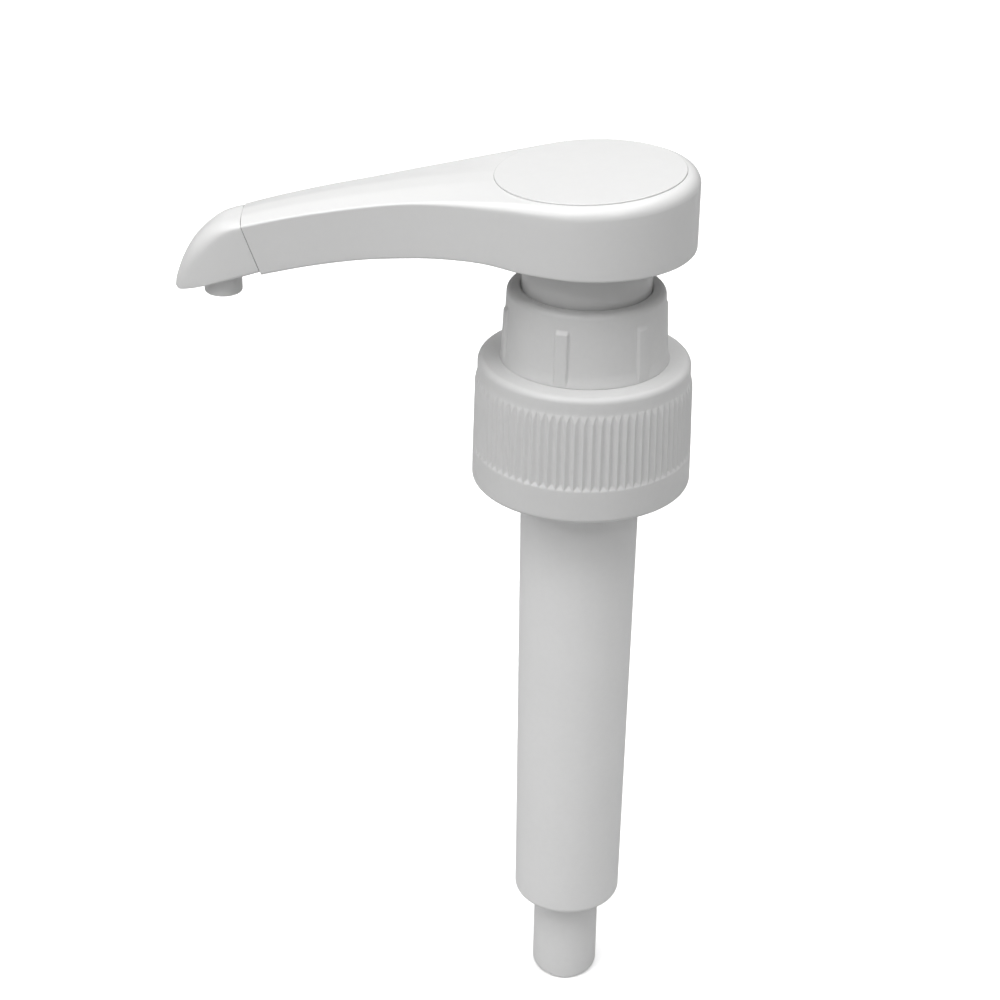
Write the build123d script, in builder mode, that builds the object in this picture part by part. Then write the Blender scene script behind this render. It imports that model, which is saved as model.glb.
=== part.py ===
from build123d import *
import os
from math import asin, cos, degrees, radians, sin, sqrt, tan

# Condiment pump for a gallon jug with a 38 mm screw neck. Millimetres, +Z up along the pump's axis.
# The origin is the middle of the gasket's underside, which rests on the bottle's rim, and the
# spout points along -X. The pump is modelled locked down, with its plunger at the bottom.

# ---- driving dimensions: outside ----
CLOSURE_R = 21.5                 # closure skirt at its lower rim
BAND_R = 20.64                   # plain band above the knurling
CLOSURE_BOTTOM, CLOSURE_TOP = -20.0, 5.75
FLUTE_LOW, FLUTE_HIGH, FLUTES = -12.3, 2.5, 80
CLOSURE_HOLE, CLOSURE_BORE = 14.6, 18.95
EDGE_R = 1.3                     # radius of the closure's two outer edges
COLLAR_FOOT, COLLAR_TOP = 5.95, 20.3
RIBS, FIRST_RIB = 6, -109.2      # ribs on the collar, and the angle of the first one in degrees
HEAD_R = 20.6                    # round end of the saddle head
HEAD_FLOOR, HEAD_TOP = 28.9, 42.85   # lower edge, and top face on the axis
HEAD_TILT = 3.3                  # degrees that the top face falls toward the spout
DISC_R, DISC_T, DISC_RISE = 18.0, 1.2, 0.35
NECK_R = 12.5                    # smooth neck between the head and the collar
JOINT_S, JOINT_Z, JOINT_SLANT = 64.65, 33.2, 20.5   # where tip meets arm, and its lean in degrees
TIP_S = 78.0                     # reach from the axis to the end of the tip
NOZZLE_S, NOZZLE_R, NOZZLE_BORE, NOZZLE_END = 69.0, 3.6, 2.3, 18.4
BARREL_TOP_R, BARREL_TAPER = 11.92, 0.0073
BARREL_END, LIP_R, SHOULDER_R = -119.07, 8.66, 5.0
TUBE_R, TUBE_BORE, TUBE_END, TUBE_CUT = 6.83, 5.55, -139.4, 8.0

# ---- driving dimensions: inside ----
BORE_R, BORE_FLOOR = 10.5, -105.5
MOUTH_R, MOUTH_TOP = 12.95, 13.4   # wide mouth of the housing, which the head's neck enters
THROAT = 2.6                       # where the wide mouth steps in to the bore
SEAT_Z, SOCKET_TOP = -109.4, -110.6
STEM_R, STEM_BORE, STEM_TOP, STEM_END = 5.2, 3.9, 33.0, -89.6
PISTON_TOP, PISTON_END = -79.0, -89.5
BALL_STOP = -76.1                  # underside of the crossed ribs above the outlet ball
INLET_BALL_R, INLET_APEX = 4.0, -111.0     # ball, and the apex of its 45 degree seat
OUTLET_BALL_R, OUTLET_APEX = 3.0, -86.8
SPRING_R, WIRE_R, COILS = 8.4, 0.62, 10
NECK_END, SOCKET_END = 6.0, 12.0   # lower ends of the head's neck and of its stem socket
SMOOTH_NECK = 18.8                 # the neck is smooth above this height and threaded below it
INNER_TOP = 38.5                   # the neck and webs run up into the head's ceiling
SOCKET_R = 6.45                    # socket for the intake tube, whose end steps in to fit it
CHANNEL_Z, CHANNEL_R, CHANNEL_BORE = 36.0, 4.0, 2.7
PEG_RING, PEG_R = 15.0, 1.2
WALL = 1.8
FIT = 0.05                         # clearance of a running or pressed fit, on the radius
SLOPE = tan(radians(HEAD_TILT))
CHANNEL_FALL = (CHANNEL_Z - 28.95) / JOINT_S

os.makedirs("parts", exist_ok=True)


def finish(builder, label):
    """Name a finished piece and write it to its own file."""
    builder.part.label = label
    export_step(builder.part, f"parts/{label}.step")
    print(label, "solids", len(builder.part.solids()), "volume", round(builder.part.volume))


def turned(points):
    """A ring: a closed outline of (radius, height) points, turned about the pump's axis."""
    with BuildPart() as ring:
        with BuildSketch(Plane.XZ):
            with BuildLine():
                Polyline(points, close=True)
            make_face()
        revolve(axis=Axis.Z)
    return ring.part


def thread_ridge(root_r, crest_r, pitch, turns, start_z):
    """The ridge of one screw thread: a blunt tooth that follows a helix."""
    side = 1 if crest_r > root_r else -1
    helix = Helix(pitch=pitch, height=pitch * turns, radius=root_r)
    helix = helix.moved(Location((0, 0, start_z)))
    foot, tip, sink = 0.32 * pitch, 0.14 * pitch, 0.15
    height = abs(crest_r - root_r)
    with BuildPart() as ridge:
        with BuildSketch(Plane(origin=helix @ 0, x_dir=(side, 0, 0), z_dir=helix % 0)):
            with BuildLine():
                Polyline((-sink, -foot), (0, -foot), (height, -tip), (height, tip), (0, foot),
                         (-sink, foot), close=True)
            make_face()
        sweep(path=helix, is_frenet=True)
    return ridge.part


# ---- shapes that the head and the tip share ----
JOINT = Plane(
    origin=(-JOINT_S, 0, JOINT_Z),
    z_dir=(-cos(radians(JOINT_SLANT)), 0, -sin(radians(JOINT_SLANT))),
)


def channel_plane(s):
    """The cross-section of the flow channel at s out from the axis, looking toward the tip."""
    return Plane(origin=(-s, 0, CHANNEL_Z - CHANNEL_FALL * s), z_dir=(-1, 0, -CHANNEL_FALL))


# stations along the arm, as (distance out from the axis, half width or height)
WAIST = [(14, 16.35), (20, 13.95), (26, 11.74), (32, 9.9), (38, 8.6), (50, 7.34), (68, 6.1)]
RIDGE = [(18, HEAD_TOP - 18 * SLOPE), (32, 40.45), (44, 38.36), (56, 35.74), (68, 32.85)]
BELLY = [
    (12, HEAD_FLOOR), (20, 29.7), (28, 29.55), (36, 28.8),
    (44, 27.95), (52, 26.5), (61.3, 24.3), (68, 22.3),
]


def arm_block(inset, drop, floor_drop, end_s):
    """Head and arm as one block.

    inset thins it in plan, drop lowers its top, floor_drop its floor, and end_s cuts it off.
    """
    round_r, meet_s = HEAD_R - inset, 8.0
    meet_w = sqrt(round_r**2 - meet_s**2)
    edge = [(meet_s, meet_w)] + [(s, w - inset) for s, w in WAIST]
    back = HEAD_R + 2
    with BuildPart() as block:
        with BuildSketch():
            with BuildLine():
                near = Spline([(-s, -w) for s, w in edge], tangents=[(-meet_w, meet_s), (-1, 0.07)])
                far = Spline([(-s, w) for s, w in edge], tangents=[(-meet_w, -meet_s), (-1, -0.07)])
                Line(near @ 1, far @ 1)
                ThreePointArc(near @ 0, (round_r, 0), far @ 0)
            make_face()
        extrude(amount=HEAD_TOP + back)
        with BuildSketch(Plane.XZ):
            with BuildLine():
                top = Spline([(-s, z - drop) for s, z in RIDGE], tangents=[(-1, -SLOPE), (-1, -0.24)])
                low = Spline([(-s, z - floor_drop) for s, z in BELLY], tangents=[(-1, 0), (-1, -0.3)])
                back_top = (back, HEAD_TOP + back * SLOPE - drop)
                Polyline(top @ 0, back_top, (back, HEAD_FLOOR - floor_drop), low @ 0)
                Line(top @ 1, low @ 1)
            make_face()
        extrude(amount=back, both=True, mode=Mode.INTERSECT)
        if end_s:
            with BuildSketch(Plane.YZ.offset(-end_s)):
                Rectangle(120, 200)
            extrude(amount=-60, mode=Mode.SUBTRACT)
    return block.part


head_cavity = arm_block(WALL, 3.2, 12.0, JOINT_S - 5)

# ---- actuator_head: saddle head, arm, neck with the lock's thread, stem socket and flow channel ----
with BuildPart() as actuator_head:
    add(arm_block(0, 0, 0, 0))
    rim = [e for e in actuator_head.edges() if e.center().Z > 31 and e.geom_type != GeomType.LINE]
    fillet(rim, 2.0)
    add(head_cavity, mode=Mode.SUBTRACT)
    with BuildSketch(channel_plane(0)):
        Circle(CHANNEL_R)
    extrude(amount=JOINT_S + 3)
    with BuildSketch(Plane.XY.offset(SOCKET_END)):
        Circle(STEM_R + FIT + 2.0)
    extrude(amount=INNER_TOP + 2 - SOCKET_END)
    with BuildSketch(Plane.XY.offset(NECK_END)):
        Circle(NECK_R - 0.6)
        Circle(NECK_R - 0.6 - 1.5, mode=Mode.SUBTRACT)
    extrude(amount=INNER_TOP - NECK_END)
    with BuildSketch(Plane.XY.offset(SMOOTH_NECK)):
        Circle(NECK_R)
        Circle(NECK_R - 1.0, mode=Mode.SUBTRACT)
    extrude(amount=INNER_TOP - SMOOTH_NECK)
    with BuildSketch(Plane.XY.offset(SOCKET_END + 1)):
        with PolarLocations((STEM_R + NECK_R) / 2 + 0.4, 4, start_angle=45):
            Rectangle(5.2, 1.3)
    extrude(amount=INNER_TOP - SOCKET_END)
    add(thread_ridge(NECK_R - 0.6, NECK_R - 0.05, 4.0, 1.6, 9.0))
    with BuildSketch(Plane.XY.offset(SOCKET_END)):
        Circle(STEM_R + FIT)
    extrude(amount=STEM_TOP - SOCKET_END, mode=Mode.SUBTRACT)
    with BuildSketch(Plane.XY.offset(STEM_TOP)):
        Circle(STEM_BORE)
    extrude(amount=5.2, mode=Mode.SUBTRACT)
    with BuildSketch(channel_plane(0)):
        Circle(CHANNEL_BORE)
    extrude(amount=JOINT_S + 6, mode=Mode.SUBTRACT)
    disc_seat = Plane(origin=(0, 0, HEAD_TOP + DISC_RISE - DISC_T - 0.05), z_dir=(-SLOPE, 0, 1))
    with BuildSketch(disc_seat):
        Circle(DISC_R + 0.08)
    extrude(amount=6, mode=Mode.SUBTRACT)
    with BuildSketch(disc_seat):
        with PolarLocations(PEG_RING, 3, start_angle=60):
            Circle(PEG_R + 0.1)
    extrude(amount=-4, mode=Mode.SUBTRACT)
    with BuildSketch(JOINT):
        Rectangle(60, 60)
    extrude(amount=40, mode=Mode.SUBTRACT)
finish(actuator_head, "actuator_head")

# ---- head_cover_disc: inlaid disc that closes the moulding's top, held by three pegs ----
disc_under = Plane(origin=(0, 0, HEAD_TOP + DISC_RISE - DISC_T), z_dir=(-SLOPE, 0, 1))
with BuildPart() as head_cover_disc:
    with BuildSketch(disc_under):
        Circle(DISC_R)
    extrude(amount=DISC_T)
    fillet(head_cover_disc.edges().filter_by(GeomType.CIRCLE).sort_by(Axis.Z)[-1], 0.3)
    with BuildSketch(disc_under):
        with PolarLocations(PEG_RING, 3, start_angle=60):
            Circle(PEG_R)
    extrude(amount=-1.8)
finish(head_cover_disc, "head_cover_disc")


# ---- spout_tip: hollow beak with a spigot into the arm's channel and a nozzle that points down ----
# stations of the beak, as (distance out from the axis, half width or height)
BEAK_SIDE = [(60, 6.4), (66, 6.05), (71, 5.3), (75, 3.9), (77.2, 2.1)]
BEAK_CREST = [
    (60, 34.65), (64.8, 33.65), (69, 32.5), (71.8, 30.9), (74.2, 28.6), (76.3, 25.0), (77.6, 21.5),
]


def beak(inset, drop, floor_drop):
    """The beak's outer block, or with an inset the hollow inside it."""
    with BuildPart() as block:
        with BuildSketch(Plane.XY.offset(10)):
            with BuildLine():
                near = [(-s, inset - w) for s, w in BEAK_SIDE]
                far = [(-s, w - inset) for s, w in reversed(BEAK_SIDE)]
                nose = Spline(near + [(inset - TIP_S, 0)] + far, tangents=[(-1, 0.05), (1, 0.05)])
                Line(nose @ 1, nose @ 0)
            make_face()
        extrude(amount=30)
        with BuildSketch(Plane.XZ):
            with BuildLine():
                top = Spline([(-s, z - drop) for s, z in BEAK_CREST] + [(-TIP_S - 1, 17.5 - drop)])
                under = [(-TIP_S, 19.3 - floor_drop), (-60, 25.1 - floor_drop)]
                Polyline(top @ 1, *under, top @ 0)
            make_face()
        extrude(amount=HEAD_R, both=True, mode=Mode.INTERSECT)
    return block.part


nozzle_top = CHANNEL_Z - CHANNEL_FALL * NOZZLE_S
with BuildPart() as spout_tip:
    add(beak(0, 0, 0))
    crest_edges = [e for e in spout_tip.edges() if e.geom_type != GeomType.LINE and e.center().Z > 26]
    fillet(crest_edges, 1.2)
    add(beak(1.3, 1.5, 6), mode=Mode.SUBTRACT)
    with BuildSketch(channel_plane(JOINT_S - 4)):
        Circle(CHANNEL_R - 0.3)
    extrude(amount=NOZZLE_S - JOINT_S + 5)
    with BuildSketch(Plane.XY.offset(NOZZLE_END)):
        with Locations((-NOZZLE_S, 0)):
            Circle(NOZZLE_R)
    extrude(amount=nozzle_top + 3 - NOZZLE_END)
    with BuildSketch(JOINT.offset(0.06)):
        Rectangle(60, 60)
    extrude(amount=-40, mode=Mode.SUBTRACT)
    with BuildSketch(channel_plane(JOINT_S - 6)):
        Circle(CHANNEL_BORE - FIT)
    extrude(amount=8)
    with BuildSketch(channel_plane(JOINT_S - 7)):
        Circle(CHANNEL_BORE - FIT - 0.8)
    extrude(amount=NOZZLE_S - JOINT_S + 7, mode=Mode.SUBTRACT)
    with BuildSketch(Plane.XY.offset(NOZZLE_END)):
        with Locations((-NOZZLE_S, 0)):
            Circle(NOZZLE_BORE)
    extrude(amount=nozzle_top + 1.9 - NOZZLE_END, mode=Mode.SUBTRACT)
finish(spout_tip, "spout_tip")

# ---- piston_stem: the tube that carries the product up, with the ball's stop across its bore ----
with BuildPart() as piston_stem:
    add(turned([
        (STEM_BORE, STEM_END), (STEM_R, STEM_END), (STEM_R, PISTON_TOP + 0.2),
        (6.6, PISTON_TOP + 0.2), (6.6, PISTON_TOP + 1.2), (STEM_R, PISTON_TOP + 2.4),
        (STEM_R, STEM_TOP - FIT), (STEM_BORE, STEM_TOP - FIT),
    ]))
    with BuildSketch(Plane.XY.offset(BALL_STOP)):
        Rectangle(2 * STEM_BORE + 0.8, 1.0)
        Rectangle(1.0, 2 * STEM_BORE + 0.8)
    extrude(amount=1.5)
finish(piston_stem, "piston_stem")

# ---- outlet_valve_seat: pressed into the stem's foot, it seats the ball and keeps the piston on ----
with BuildPart() as outlet_valve_seat:
    rim_z = OUTLET_APEX + 3.2
    throat_z = OUTLET_APEX + 1.8
    add(turned([
        (1.8, STEM_END - 1.4), (6.0, STEM_END - 1.4), (6.2, STEM_END - 1.2), (6.2, STEM_END - FIT),
        (STEM_BORE - FIT, STEM_END - FIT), (STEM_BORE - FIT, rim_z), (3.2, rim_z), (1.8, throat_z),
    ]))
finish(outlet_valve_seat, "outlet_valve_seat")

# ---- the two check balls, each resting in its cone ----
for label, ball_r, apex in (
    ("outlet_ball", OUTLET_BALL_R, OUTLET_APEX), ("inlet_ball", INLET_BALL_R, INLET_APEX),
):
    with BuildPart() as ball:
        with Locations((0, 0, apex + (ball_r + FIT) * sqrt(2))):
            Sphere(ball_r)
    finish(ball, label)

# ---- piston: a stiff core that the spring pushes on, and a soft cup seal round it ----
core_r, flange_z = 7.0, PISTON_END + 1.4
with BuildPart() as piston_core:
    add(turned([
        (STEM_R + FIT, PISTON_END), (9.4, PISTON_END), (9.4, flange_z), (core_r, flange_z),
        (core_r, flange_z + 3.6), (core_r + 0.5, flange_z + 4.1), (core_r + 0.5, flange_z + 4.9),
        (core_r, flange_z + 5.4), (core_r, PISTON_TOP), (STEM_R + FIT, PISTON_TOP),
    ]))
finish(piston_core, "piston_core")

seal_r, seal_low, seal_high = BORE_R - FIT, flange_z + 0.1, PISTON_TOP - 0.1
with BuildPart() as piston_seal:
    add(turned([
        (core_r + FIT, seal_low), (8.9, seal_low), (9.2, seal_low + 2.0), (seal_r - 0.5, seal_low),
        (seal_r, seal_low + 0.2), (seal_r, seal_low + 1.0), (9.7, seal_low + 3.2), (9.7, seal_high - 3.2),
        (seal_r, seal_high - 1.0), (seal_r, seal_high - 0.2), (seal_r - 0.5, seal_high),
        (9.0, seal_high - 2.2), (8.4, seal_high - 2.2), (8.2, seal_high), (core_r + FIT, seal_high),
        (core_r + FIT, flange_z + 5.5), (core_r + 0.55, flange_z + 5.0), (core_r + 0.55, flange_z + 4.0),
        (core_r + FIT, flange_z + 3.5),
    ]))
finish(piston_seal, "piston_seal")

# ---- return_spring: wound wire between the ball cage's base and the piston, almost shut at rest ----
cage_top = BORE_FLOOR + 1.3
spring_low = cage_top + WIRE_R + FIT
spring_rise = PISTON_END - FIT - WIRE_R - spring_low
with BuildPart() as return_spring:
    coil = Helix(pitch=spring_rise / COILS, height=spring_rise, radius=SPRING_R)
    coil = coil.moved(Location((0, 0, spring_low)))
    with BuildSketch(Plane(origin=coil @ 0, x_dir=(1, 0, 0), z_dir=coil % 0)):
        Circle(WIRE_R)
    sweep(path=coil, is_frenet=True)
finish(return_spring, "return_spring")

# ---- ball_cage: keeps the inlet ball near its seat, and its base ring carries the spring ----
cage_in, cage_out, cage_lid = INLET_BALL_R + 0.6, 6.4, -96.9
with BuildPart() as ball_cage:
    add(turned([
        (5.3, BORE_FLOOR + FIT), (BORE_R - FIT, BORE_FLOOR + FIT), (BORE_R - FIT, cage_top),
        (cage_out, cage_top), (cage_out, cage_lid + 0.6), (cage_out - 0.8, cage_lid + 1.4),
        (2.2, cage_lid + 1.4), (2.2, cage_lid), (cage_in, cage_lid), (cage_in, cage_top), (5.3, cage_top - 0.6),
    ]))
    with BuildSketch(Plane.XY.offset(cage_top)):
        with PolarLocations(cage_out, 3):
            Rectangle(5, 4.2)
    extrude(amount=cage_lid - cage_top - 0.8, mode=Mode.SUBTRACT)
finish(ball_cage, "ball_cage")


# ---- pump_housing: mouth, flange, long barrel with the inlet seat in its floor, tube socket ----
def barrel_r(z):
    """Outside radius of the barrel, which tapers slightly toward the bottom."""
    return BARREL_TOP_R + BARREL_TAPER * z


lean = asin(1 - (barrel_r(BARREL_END) - LIP_R) / SHOULDER_R)
shoulder_z = BARREL_END + SHOULDER_R * cos(lean)
with BuildPart() as pump_housing:
    with BuildSketch(Plane.XZ):
        with BuildLine():
            Polyline(
                (MOUTH_R, MOUTH_TOP), (MOUTH_R + 0.8, MOUTH_TOP), (MOUTH_R + 1.0, MOUTH_TOP - 0.4),
                (MOUTH_R + 1.0, 3.6), (18.0, 3.6), (18.2, 3.4), (18.2, 1.65), (barrel_r(0) + 1.0, 1.65),
                (barrel_r(0), 0.6), (barrel_r(shoulder_z), shoulder_z),
            )
            swing = 90 - degrees(lean)
            middle = radians(swing / 2)
            bulge_r = barrel_r(shoulder_z) - SHOULDER_R * (1 - cos(middle))
            ThreePointArc(
                (barrel_r(shoulder_z), shoulder_z),
                (bulge_r, shoulder_z - SHOULDER_R * sin(middle)),
                (LIP_R, BARREL_END),
            )
            Polyline(
                (LIP_R, BARREL_END), (SOCKET_R, BARREL_END), (SOCKET_R, SOCKET_TOP), (3.0, SOCKET_TOP),
                (1.6, SEAT_Z), (5.0, INLET_APEX + 5.0), (5.0, BORE_FLOOR), (BORE_R, BORE_FLOOR),
                (BORE_R, THROAT), (MOUTH_R, THROAT), (MOUTH_R, MOUTH_TOP),
            )
        make_face()
    revolve(axis=Axis.Z)
    with BuildSketch(Plane.XZ.offset(barrel_r(0) - 4)):
        with Locations((0, -9.0)):
            Circle(0.8)
    extrude(amount=6, mode=Mode.SUBTRACT)
finish(pump_housing, "pump_housing")

# ---- dip_tube: short intake tube pushed up into the socket, its end cut to a shallow V ----
with BuildPart() as dip_tube:
    with BuildSketch(Plane.XY.offset(TUBE_END)):
        Circle(TUBE_R)
        Circle(TUBE_BORE, mode=Mode.SUBTRACT)
    extrude(amount=BARREL_END - 0.1 - TUBE_END)
    with BuildSketch(Plane.XY.offset(TUBE_END + 2)):
        Circle(SOCKET_R - FIT)
        Circle(TUBE_BORE, mode=Mode.SUBTRACT)
    extrude(amount=SOCKET_TOP - 0.1 - TUBE_END - 2)
    rise = 2 * TUBE_R * tan(radians(TUBE_CUT))
    for side in (1, -1):
        with BuildSketch(Plane.XZ):
            with BuildLine():
                reach = side * 2 * TUBE_R
                Polyline((0, TUBE_END), (reach, TUBE_END), (reach, TUBE_END + rise), close=True)
            make_face()
        extrude(amount=2 * TUBE_R, both=True, mode=Mode.SUBTRACT)
finish(dip_tube, "dip_tube")

# ---- stem_guide: bush in the housing's mouth, with air grooves; stem_wiper sits in its top ----
guide_top = THROAT + 1.8
with BuildPart() as stem_guide:
    add(turned([
        (STEM_R + 0.06, -1.5), (BORE_R - 0.5, -1.5), (BORE_R - FIT, -1.0), (BORE_R - FIT, THROAT + FIT),
        (MOUTH_R - FIT, THROAT + FIT), (MOUTH_R - FIT, guide_top), (7.7, guide_top), (7.7, THROAT),
        (STEM_R + 0.06, THROAT),
    ]))
    with BuildSketch(Plane.XY.offset(-1.5)):
        with PolarLocations(STEM_R, 3):
            Circle(0.7)
    extrude(amount=THROAT + 1.5, mode=Mode.SUBTRACT)
finish(stem_guide, "stem_guide")

with BuildPart() as stem_wiper:
    add(turned([
        (STEM_R + FIT, THROAT + 0.1), (7.65, THROAT + 0.1), (7.65, guide_top - 0.1), (6.4, guide_top - 0.1),
        (5.9, guide_top - 0.9), (5.5, guide_top - 0.1), (STEM_R + FIT, guide_top - 0.1),
    ]))
finish(stem_wiper, "stem_wiper")

# ---- rim_gasket: flat ring that the bottle's rim presses against the flange ----
with BuildPart() as rim_gasket:
    gasket_in = barrel_r(0) + 0.3
    add(turned([(gasket_in, 0), (18.3, 0), (18.3, 1.6), (gasket_in + 0.8, 1.6), (gasket_in, 0.8)]))
finish(rim_gasket, "rim_gasket")


# ---- lock_collar: snapped over the housing's mouth, with the lock's inner thread and six ribs ----
def collar_r(z):
    """Outside radius of the collar's wall, which drafts in toward the top."""
    return 16.14 - 0.045 * z


lip_z, lip_round = 17.9, 2.3
with BuildPart() as lock_collar:
    with BuildSketch(Plane.XZ):
        with BuildLine():
            foot = Polyline((MOUTH_R + 1.1, COLLAR_FOOT), (16.35, COLLAR_FOOT), (16.35, COLLAR_FOOT + 0.2))
            flare = JernArc(foot @ 1, (-sin(radians(25)), cos(radians(25))), 5.5, -22.4)
            wall = Line(flare @ 1, (collar_r(lip_z), lip_z))
            lip = JernArc(wall @ 1, (-0.045, 1), lip_round, 87)
            Polyline(lip @ 1, (NECK_R + 0.25, COLLAR_TOP - 0.4), (NECK_R + 0.25, 18.9),
                     (13.25, 18.5), (13.25, MOUTH_TOP + 0.2), (MOUTH_R + 1.1, MOUTH_TOP + 0.2), foot @ 0)
        make_face()
    revolve(axis=Axis.Z)
    add(thread_ridge(13.25, NECK_R + 0.15, 4.0, 0.85, 14.9))
    for turn in range(RIBS):
        angle = radians(FIRST_RIB + turn * 360 / RIBS)
        outward = (cos(angle), sin(angle), 0)
        rib_plane = Plane(origin=(0, 0, 0), x_dir=outward, z_dir=(sin(angle), -cos(angle), 0))
        with BuildSketch(rib_plane):
            with BuildLine():
                Polyline((14.6, 6.6), (collar_r(6.6) + 0.35, 6.6), (collar_r(16.2) + 0.5, 16.2),
                         (collar_r(17.2) + 0.1, 17.2), (14.6, 17.2), close=True)
            make_face()
        extrude(amount=1.35, both=True)
finish(lock_collar, "lock_collar")


# ---- closure_cap: fluted screw cap that turns freely between the collar and the housing's flange ----
def skirt_r(z):
    """Outside radius of the skirt, which drafts in slightly from its rim to the band."""
    return CLOSURE_R - 0.0198 * (z - CLOSURE_BOTTOM)


with BuildPart() as closure_cap:
    with BuildSketch(Plane.XZ):
        with BuildLine():
            rim_end = (skirt_r(CLOSURE_BOTTOM + EDGE_R), CLOSURE_BOTTOM + EDGE_R)
            rim_arc = RadiusArc((CLOSURE_R - EDGE_R, CLOSURE_BOTTOM), rim_end, -EDGE_R)
            step = Polyline(rim_arc @ 1, (skirt_r(FLUTE_HIGH), FLUTE_HIGH), (BAND_R, FLUTE_HIGH + 0.5),
                            (BAND_R, CLOSURE_TOP - EDGE_R))
            top_arc = RadiusArc(step @ 1, (BAND_R - EDGE_R, CLOSURE_TOP), -EDGE_R)
            Polyline(top_arc @ 1, (CLOSURE_HOLE, CLOSURE_TOP), (CLOSURE_HOLE, CLOSURE_TOP - 2.0),
                     (CLOSURE_BORE, CLOSURE_TOP - 2.0), (CLOSURE_BORE, CLOSURE_BOTTOM + 0.8),
                     (CLOSURE_BORE + 0.45, CLOSURE_BOTTOM), rim_arc @ 0)
        make_face()
    revolve(axis=Axis.Z)
    with BuildSketch(Plane.XY.offset(FLUTE_LOW)):
        with PolarLocations(skirt_r(-5) + 0.22, FLUTES):
            Circle(0.55)
    extrude(amount=FLUTE_HIGH - 0.4 - FLUTE_LOW, mode=Mode.SUBTRACT)
    add(thread_ridge(CLOSURE_BORE, 17.85, 4.23, 1.4, -13.0))
finish(closure_cap, "closure_cap")
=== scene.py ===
# %% [markdown]
# # A condiment pump, dressed over its CAD frame
# The CAD model of the pump is the fixed frame of this scene: it says where every part is and how it
# moves. Here the parts that show get finer meshes, and so do the spring and the soft rings inside. The
# other inner parts keep their CAD meshes, and every part gets a finish. All lengths are written in
# millimetres and turned into metres when a mesh is made. The pump's axis is Z, the spout points along
# -X, and z = 0 is the plane where the bottle's rim touches the gasket.

from math import atan2, cos, degrees, hypot, pi, radians, sin, sqrt, tan

import bmesh
import bpy
from mathutils import Matrix, Vector


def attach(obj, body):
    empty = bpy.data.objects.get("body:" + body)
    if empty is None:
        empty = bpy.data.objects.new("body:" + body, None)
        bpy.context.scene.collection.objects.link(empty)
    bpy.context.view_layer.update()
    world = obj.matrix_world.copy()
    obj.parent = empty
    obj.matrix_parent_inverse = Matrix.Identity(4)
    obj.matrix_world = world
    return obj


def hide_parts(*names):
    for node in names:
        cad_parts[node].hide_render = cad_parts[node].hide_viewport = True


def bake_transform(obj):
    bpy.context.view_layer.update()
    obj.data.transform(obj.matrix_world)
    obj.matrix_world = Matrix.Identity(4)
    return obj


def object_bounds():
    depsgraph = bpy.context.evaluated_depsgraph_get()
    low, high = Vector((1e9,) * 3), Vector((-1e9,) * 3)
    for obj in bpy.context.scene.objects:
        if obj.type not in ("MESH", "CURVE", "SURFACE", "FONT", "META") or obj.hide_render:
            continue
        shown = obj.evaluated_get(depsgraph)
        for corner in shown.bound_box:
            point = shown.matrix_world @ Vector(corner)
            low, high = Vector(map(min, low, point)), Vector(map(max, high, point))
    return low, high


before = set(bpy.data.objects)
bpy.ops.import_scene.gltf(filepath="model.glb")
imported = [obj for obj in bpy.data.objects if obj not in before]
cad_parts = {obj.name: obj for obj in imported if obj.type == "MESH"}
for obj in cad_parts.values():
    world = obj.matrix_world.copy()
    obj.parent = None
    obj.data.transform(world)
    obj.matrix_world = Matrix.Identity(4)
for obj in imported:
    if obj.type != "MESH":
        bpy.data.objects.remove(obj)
cad_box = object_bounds()
print("parts in the frame:", len(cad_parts), "lowest point:", round(cad_box[0].z, 4))

# %% [markdown]
# ## The camera
# A product shot of a tall thin thing is taken with a long lens from a little above, so that the round
# head shows its top and the barrel still looks straight. The camera is set by its heading, pitch and
# roll, which are easier to reason about than a quaternion.

# %% camera
heading, pitch, roll = radians(1.03), radians(27.177), radians(0.992)
forward = Vector((sin(heading) * cos(pitch), cos(heading) * cos(pitch), -sin(pitch)))
level = Vector((cos(heading), -sin(heading), 0))
upright = level.cross(forward)
right = cos(roll) * level + sin(roll) * upright
up = cos(roll) * upright - sin(roll) * level

camera_data = bpy.data.cameras.new("camera")
camera_data.lens, camera_data.sensor_width = 86.89, 36.0
camera_data.clip_start, camera_data.clip_end = 0.01, 50
camera = bpy.data.objects.new("camera", camera_data)
bpy.context.scene.collection.objects.link(camera)
turn = Matrix((right, up, -forward)).transposed().to_4x4()
camera.matrix_world = Matrix.Translation((-0.02349, -0.42682, 0.19327)) @ turn
bpy.context.scene.camera = camera
print("camera looks down by", round(degrees(pitch), 1), "degrees")

# %% [markdown]
# ## Making meshes from outlines
# Nearly all of this pump is turned or lofted, as the steel mould for it was. A drawing gives sharp
# corners, and the real part has small radii there, which catch the light. So an outline is first
# softened: each corner becomes a true arc. A circle arc is exactly a rational curve with one
# control point at the corner, which is shorter to write than working with centres.


# %% soften the corners of an outline
def softened(corners, steps=5, closed=True):
    """corners are (radius, height, corner radius); gives (radius, height) points with arcs for corners."""
    points, count = [], len(corners)
    for i, (x, z, r) in enumerate(corners):
        here = Vector((x, z))
        if r <= 0 or (not closed and i in (0, count - 1)):
            points.append((x, z))
            continue
        to_last = Vector(corners[i - 1][:2]) - here
        to_next = Vector(corners[(i + 1) % count][:2]) - here
        bend = pi - to_last.angle(to_next)
        back = min(r * tan(bend / 2), to_last.length * 0.49, to_next.length * 0.49)
        a, b = here + to_last.normalized() * back, here + to_next.normalized() * back
        pull = cos(bend / 2)
        for k in range(steps + 1):
            t = k / steps
            wa, wc, wb = (1 - t) ** 2, 2 * t * (1 - t) * pull, t * t
            p = (a * wa + here * wc + b * wb) / (wa + wc + wb)
            points.append((p.x, p.y))
    return points


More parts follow.
